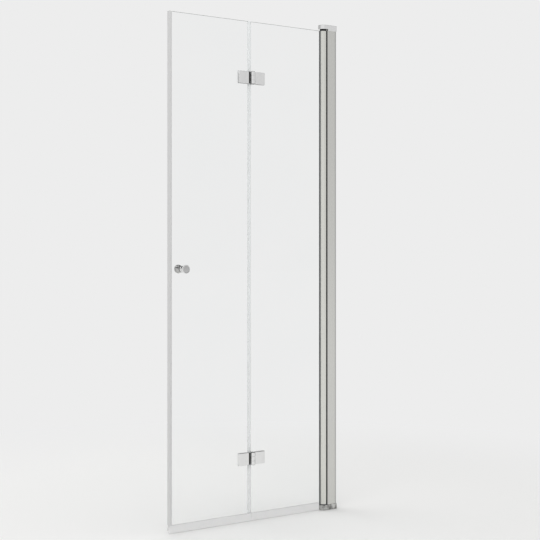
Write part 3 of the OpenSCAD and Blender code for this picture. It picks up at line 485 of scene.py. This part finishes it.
def knobOutline(radius, height):
    # the side from the middle of the foot to the face, and the face from its edge to its middle
    rimFrom = height - knob["rimHeight"]
    waistTo = knob["footHeight"] + knob["waistHeight"]
    flareWide = radius - knob["waistRadius"]
    flareHigh = rimFrom - waistTo
    flareRadius = (flareWide ** 2 + flareHigh ** 2) / (2 * flareWide)
    sweep = math.asin(flareHigh / flareRadius)
    flare = []
    for step in range(1, knob["flareSteps"]):
        turn = sweep * step / knob["flareSteps"]
        flare.append((knob["waistRadius"] + flareRadius * (1 - math.cos(turn)),
                      waistTo + flareRadius * math.sin(turn), 0))
    side = roundCorners([
        (0, 0, 0), (knob["footRadius"], 0, knob["footRound"]),
        (knob["footRadius"], knob["footHeight"], knob["footRound"]),
        (knob["waistRadius"], knob["footHeight"], knob["rootRound"]),
        (knob["waistRadius"], waistTo, 0), *flare,
        (radius, rimFrom, knob["footRound"]), (radius, height, knob["rimRound"]),
        (knob["faceRadius"], height, 0)], knob["roundSteps"])
    face = []
    for step in range(knob["faceSteps"] + 1):
        share = 1 - step / knob["faceSteps"]
        face.append((knob["faceRadius"] * share,
                     height - knob["faceSink"] - knob["faceCrown"] * share ** 2))
    return side, face


def turnMesh(name, side, face, segments):
    # turns outlines of (radius, height) in mm round the piece's Y axis; the height runs to -Y,
    # and the face takes the second material
    shape = bmesh.new()
    rings = []
    for radius, height in side + face:
        if radius == 0:
            rings.append([shape.verts.new((0, -height * mm, 0))])
            continue
        turns = [2 * math.pi * i / segments for i in range(segments)]
        rings.append([shape.verts.new((radius * mm * math.cos(t), -height * mm,
                                       radius * mm * math.sin(t))) for t in turns])
    for step, (low, high) in enumerate(zip(rings, rings[1:])):
        for i in range(segments):
            k = (i + 1) % segments
            corners = [low[i % len(low)], low[k % len(low)], high[k % len(high)],
                       high[i % len(high)]]
            patch = shape.faces.new(list(dict.fromkeys(corners)))
            patch.smooth = True
            patch.material_index = 1 if step >= len(side) - 1 else 0
    bmesh.ops.recalc_face_normals(shape, faces=shape.faces)
    mesh = bpy.data.meshes.new(name)
    shape.to_mesh(mesh)
    shape.free()
    piece = bpy.data.objects.new(name, mesh)
    bpy.context.scene.collection.objects.link(piece)
    return piece


def makeKnob(name, node, away, metal):
    # away is -1 for the room side, 1 for the shower side
    low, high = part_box(node)
    radius = (high.x - low.x) / 2 / mm
    height = (high.y - low.y) / mm
    side, face = knobOutline(radius, height)
    piece = turnMesh(name, side, face, knob["segments"])
    piece.location = ((low.x + high.x) / 2, high.y if away < 0 else low.y, (low.z + high.z) / 2)
    if away > 0:
        piece.rotation_euler.z = math.pi
    piece.data.materials.append(metal)
    piece.data.materials.append(spunChrome)
    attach(piece, "folding_leaf")
    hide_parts(node)


makeKnob("roomKnob", "room_knob", -1, finishes["chrome"])
makeKnob("showerKnob", "shower_knob", 1, dullChrome)
print("knobs turned")

weldMm = 0.002      # joins the corners that the CAD mesh holds once per face
creases = {"flatDegrees": 0.4, "sharpDegrees": 32, "segments": 3}
softEdges = [
    # the rounding in mm that polishing, casting or extrusion leaves, and the nodes that have it
    (0.8, ("top_cap", "bottom_cap")),
    (0.4, ("upper_barrel_wing", "lower_barrel_wing", "upper_knuckle_wing", "lower_knuckle_wing",
           "upper_wall_clamp", "lower_wall_clamp", "upper_fold_clamp", "lower_fold_clamp")),
    (0.6, ("post_profile",)),
]


def softenEdges(piece, width):
    # joins the mesh along its creases, clears flat faces of triangles, then rounds the creases
    steps = [
        ("WELD", {"merge_threshold": weldMm * mm}),
        ("DECIMATE", {"decimate_type": "DISSOLVE",
                      "angle_limit": math.radians(creases["flatDegrees"])}),
        ("BEVEL", {"width": width * mm, "segments": creases["segments"], "limit_method": "ANGLE",
                   "angle_limit": math.radians(creases["sharpDegrees"]),
                   "use_clamp_overlap": True}),
        ("WEIGHTED_NORMAL", {"keep_sharp": False}),
    ]
    for kind, settings in steps:
        modifier = piece.modifiers.new(kind.lower(), kind)
        for key, value in settings.items():
            setattr(modifier, key, value)


for width, nodeNames in softEdges:
    for nodeName in nodeNames:
        softenEdges(frame["nodes"][nodeName], width)
print("edges softened")

clipPlayMm = 0.03


def loosenClip(piece):
    # draws the skin of a clip in by a hair, so that its faces and those of the glass don't flicker
    weld = piece.modifiers.new("weld", "WELD")
    weld.merge_threshold = weldMm * mm
    shrink = piece.modifiers.new("shrink", "DISPLACE")
    shrink.strength = -clipPlayMm * mm
    shrink.mid_level = 0


loosenClip(frame["nodes"]["middle_seal"])
print("seal loosened on the glass")
